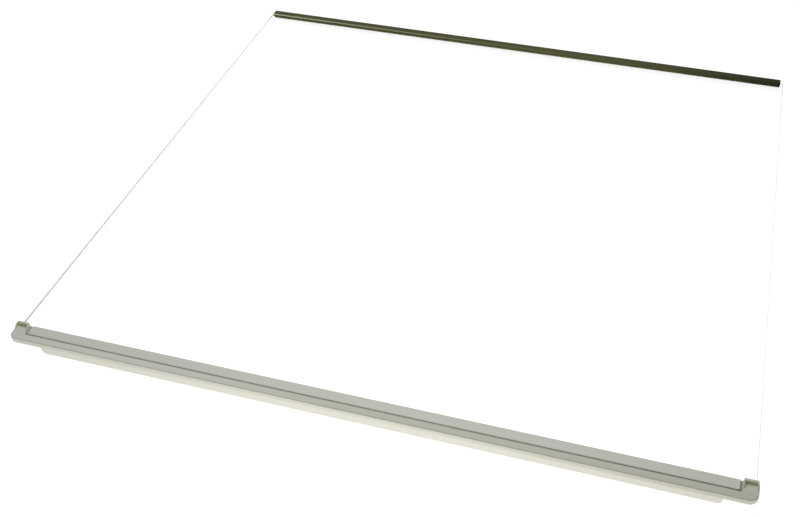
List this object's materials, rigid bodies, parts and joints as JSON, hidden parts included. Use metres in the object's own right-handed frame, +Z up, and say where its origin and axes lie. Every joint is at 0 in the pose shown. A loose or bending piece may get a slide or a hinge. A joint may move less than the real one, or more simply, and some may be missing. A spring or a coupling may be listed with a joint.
{
  "type": "refrigerator glass shelf",
  "caption": "Full-width refrigerator shelf: a clear glass pane with a pale moulded trim and skirt along the front edge and a dark channel along the rear edge.",
  "frame": {"origin": "middle of the shelf's outline, level with the foot of the front skirt", "axes": "+X to the right along the front trim, +Y from the front trim to the rear channel, +Z up through the glass"},
  "size_m": [0.4778, 0.4704, 0.0191],
  "materials": {
    "clear_glass": "clear, polished faces and ground edges",
    "pale_plastic": "smooth satin, warm light grey",
    "dark_plastic": "smooth satin, dark olive brown"
  },
  "bodies": {
    "root": {"glass_pane": "clear_glass", "front_trim": "pale_plastic", "rear_trim": "dark_plastic"}
  },
  "joints": []
}
